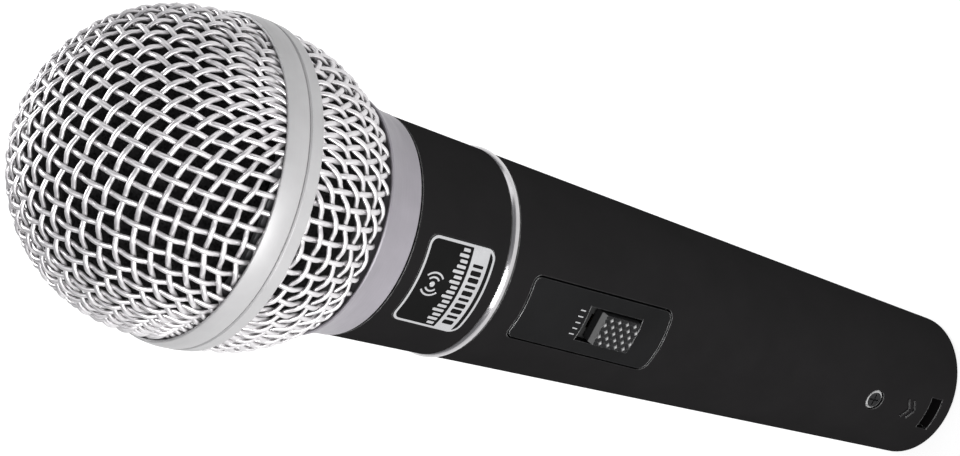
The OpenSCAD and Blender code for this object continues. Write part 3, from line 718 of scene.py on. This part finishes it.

# the sleeve under the mesh is painted black, a painted shade, so that it does not show through
f = Finish("collar_metal", 0.2)
place = f.add("ShaderNodeSeparateXYZ")
f.link(f.coord, place.inputs[0])
across = f.math("POWER", f.math("ADD", f.math("POWER", place.outputs[0], 2.0),
                                f.math("POWER", place.outputs[1], 2.0)), 0.5)
above, within, blend = 129.2 * MM, 18.5 * MM, 0.1 * MM
sleeve = f.math("MULTIPLY", f.span(place.outputs[2], above, above + blend, 0, 1),
                f.span(across, within, within + blend, 1, 0))
f.base(f.mix(sleeve, f.colour((0.215, 0.203, 0.224), 0.05, 5.0), (0.006, 0.006, 0.006)))
f.rough(0.40, 0.50, 2.5, (0.4, 0.4, 3))
f.bump(f.noise(0.18, 3, stretch=(0.1, 0.1, 3), seed=3.0), 0.003)
f.bump(f.noise(0.5, 2, seed=4.0), 0.003)
finishes["collar_metal"] = f

# open-cell foam: the cells are painted darker than their walls, a painted shade in the pores
f = Finish("foam", 0.0, 0.08)
cell = f.add("ShaderNodeTexVoronoi")
cell.inputs["Scale"].default_value = 1 / (0.55 * MM)
f.link(f.coord, cell.inputs["Vector"])
f.base(f.mix(f.span(cell.outputs["Distance"], 0.1, 0.6, 0, 1), (0.0016, 0.0015, 0.0016),
             (0.010, 0.0095, 0.010)))
f.rough(0.85, 1.0, 1.0)
f.bump(cell.outputs["Distance"], 0.25)
finishes["foam"] = f

f = Finish("felt", 0.0, 0.1)
f.base(f.mix(f.noise(0.3, 6, 0.8, warp=2.0), (0.012, 0.012, 0.012), (0.05, 0.05, 0.05)))
f.rough(0.85, 1.0, 1.0)
f.set("Sheen Weight", 0.3)
f.bump(f.noise(0.22, 6, 0.8, warp=3.0, seed=3.0), 0.06)
finishes["felt"] = f

# ---- Materials onto the pieces ----

node_slot = {part["node"]: part["material_slot"] for part in frame["record"]["subparts"]}
for name, ob in frame["nodes"].items():
    ob.data.materials.clear()
    ob.data.materials.append(finishes[node_slot[name]].mat)
for ob in bpy.context.scene.objects:
    if ob.type == "MESH" and "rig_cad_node" not in ob and "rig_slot" in ob:
        ob.data.materials.append(finishes[ob["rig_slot"]].mat)

# ---- Floor, light and camera ----

FLOOR_HALF = 4000
corners = [(x * FLOOR_HALF, y * FLOOR_HALF, 0) for x, y in ((-1, -1), (1, -1), (1, 1), (-1, 1))]
floor = mesh_object("floor", corners, [[0, 1, 2, 3]], smooth=False)
f = Finish("floor_white", 0.0, 0.2)
f.base(f.mix(f.noise(300, 2), (0.27, 0.27, 0.27), (0.29, 0.29, 0.29))).rough(0.8, 0.9, 200)
f.set("Emission Color", (1, 1, 1, 1))
f.set("Emission Strength", 0.76)
floor.data.materials.append(f.mat)

world = bpy.data.worlds.new("soft_white")
world.use_nodes = True
sky = world.node_tree.nodes["Background"]
sky.inputs["Color"].default_value = (0.95, 0.96, 1.0, 1)
sky.inputs["Strength"].default_value = 0.28
bpy.context.scene.world = world


def softbox(name, where, aim, width, height, power):
    """A rectangular area light, aimed at a point. Places and sizes are in metres, and the
    power is in watts."""
    data = bpy.data.lights.new(name, "AREA")
    data.shape, data.size, data.size_y, data.energy = "RECTANGLE", width, height, power
    ob = bpy.data.objects.new(name, data)
    ob.location = where
    ob.rotation_mode = "QUATERNION"
    ob.rotation_quaternion = (Vector(aim) - Vector(where)).to_track_quat("-Z", "Y")
    bpy.context.scene.collection.objects.link(ob)


middle = (0, 0, 0.10)
softbox("front_light", (-0.05, -0.95, 0.36), middle, 0.55, 0.6, 13.5)
softbox("key_light", (-0.5, -0.5, 1.2), middle, 0.9, 0.9, 3)
softbox("side_light", (1.0, 0.25, 0.45), middle, 0.6, 0.9, 2)
softbox("top_light", (0.1, 0.2, 1.5), middle, 1.2, 1.2, 2)
softbox("back_light", (0.0, 0.55, 0.62), (0, 0.12, 0), 0.5, 0.5, 5.5)

# the camera looks down at the switch side, rolled so that the microphone lies across the view
camera_at = (0.1193, -0.3543, 0.3731)
forward = Vector((-0.2476, 0.7679, -0.5908)).normalized()
roll = math.radians(73.36)
level = forward.cross(Vector((0, 0, 1))).normalized()
upright = level.cross(forward)
up = upright * math.cos(roll) + level * math.sin(roll)
right = forward.cross(up)
cam_data = bpy.data.cameras.new("camera")
cam_data.sensor_width, cam_data.lens = 36.0, 110.9
cam_data.clip_start, cam_data.clip_end = 0.01, 50
cam = bpy.data.objects.new("camera", cam_data)
bpy.context.scene.collection.objects.link(cam)
cam.matrix_world = Matrix.Translation(camera_at) @ Matrix((
    (right.x, up.x, -forward.x, 0), (right.y, up.y, -forward.y, 0),
    (right.z, up.z, -forward.z, 0), (0, 0, 0, 1)))
bpy.context.scene.camera = cam
bpy.context.scene.view_settings.view_transform = "Standard"
